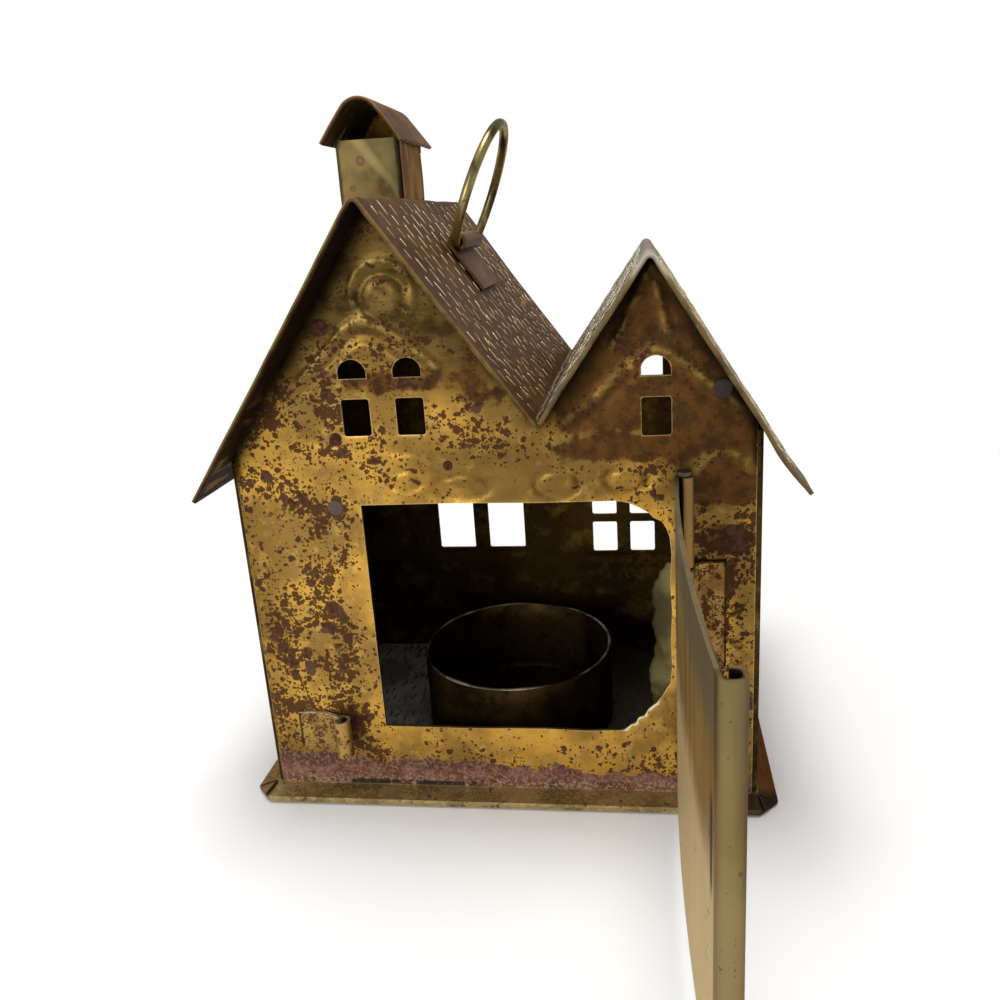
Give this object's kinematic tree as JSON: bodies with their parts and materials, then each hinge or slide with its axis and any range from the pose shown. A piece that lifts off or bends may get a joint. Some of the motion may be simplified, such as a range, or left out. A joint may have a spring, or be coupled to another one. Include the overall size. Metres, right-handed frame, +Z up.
{
  "type": "house candle lantern",
  "caption": "Small sheet-brass house lantern for a tealight, with gables, pierced windows, a chimney, a hinged front door and a wire hanging ring.",
  "frame": {"origin": "on the underside of the base plate, midway between the left and right walls and midway between the front and back walls", "axes": "+Z up; -Y towards the front of the house, where the door is; +X towards the door's hinge side"},
  "size_m": [0.1139, 0.1541, 0.1422],
  "materials": {
    "gold_brass": "aged gold-coloured brass with brown spots",
    "brown_brass": "brown tarnished brass",
    "roof_brass": "brown-purple patina over pressed strokes",
    "olive_brass": "olive-brown satin brass",
    "dark_brass": "dark sooty brass",
    "bright_brass": "polished brass wire",
    "steel_wire": "dull wire"
  },
  "bodies": {
    "house": {"base_plate": "olive_brass", "floor_plate": "dark_brass", "front_wall": "gold_brass", "back_wall": "gold_brass", "left_side_wall": "gold_brass", "right_side_wall": "gold_brass", "main_roof": "roof_brass", "small_roof": "roof_brass", "chimney_stack": "brown_brass", "chimney_cap": "brown_brass", "ring_strap": "roof_brass", "candle_cup": "dark_brass", "hinge_leaf": "gold_brass", "hinge_pin": "steel_wire", "catch_leaf": "gold_brass"},
    "door": {"door_panel": "brown_brass"},
    "bail": {"hanging_ring": "bright_brass"}
  },
  "joints": [
    {"name": "door_hinge", "type": "hinge", "parent": "house", "child": "door", "pos_m": [0.03665, -0.0353, 0.0408], "axis": [0, 0, 1], "range_deg": [-91.2, 60]},
    {"name": "ring_swing", "type": "hinge", "parent": "house", "child": "bail", "pos_m": [-0.0083, 0.0065, 0.11265], "axis": [0, 1, 0], "range_deg": [-40, 122]}
  ]
}
